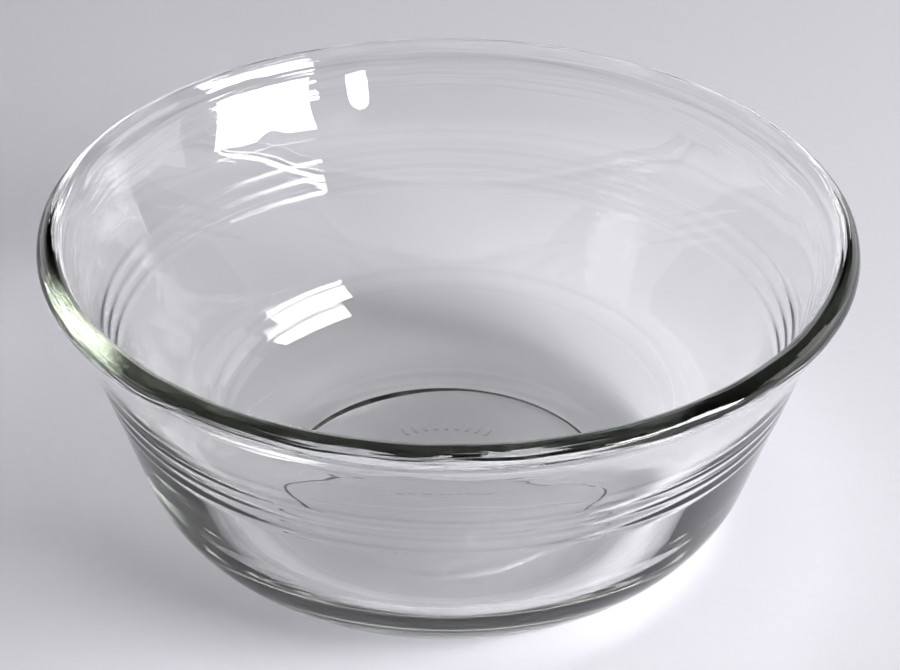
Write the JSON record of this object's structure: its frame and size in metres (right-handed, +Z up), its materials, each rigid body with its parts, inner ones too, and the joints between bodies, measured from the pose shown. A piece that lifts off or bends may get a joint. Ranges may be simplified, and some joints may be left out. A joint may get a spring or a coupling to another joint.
{
  "type": "prep bowl",
  "caption": "Round clear glass prep bowl with a beaded rim, a flare under it, a leaning wall with three thin raised rings, a rounded heel and a thick flat floor; holds a small measured portion.",
  "frame": {"origin": "on the table plane, at the middle of the standing ring under the floor", "axes": "+Z up along the bowl's axis of revolution; X and Y level, and interchangeable because the bowl is round"},
  "size_m": [0.1204, 0.1204, 0.05],
  "materials": {
    "clear_glass": "clear, polished, faint green tint in the thick parts"
  },
  "bodies": {
    "root": {"bowl": "clear_glass"}
  },
  "joints": []
}
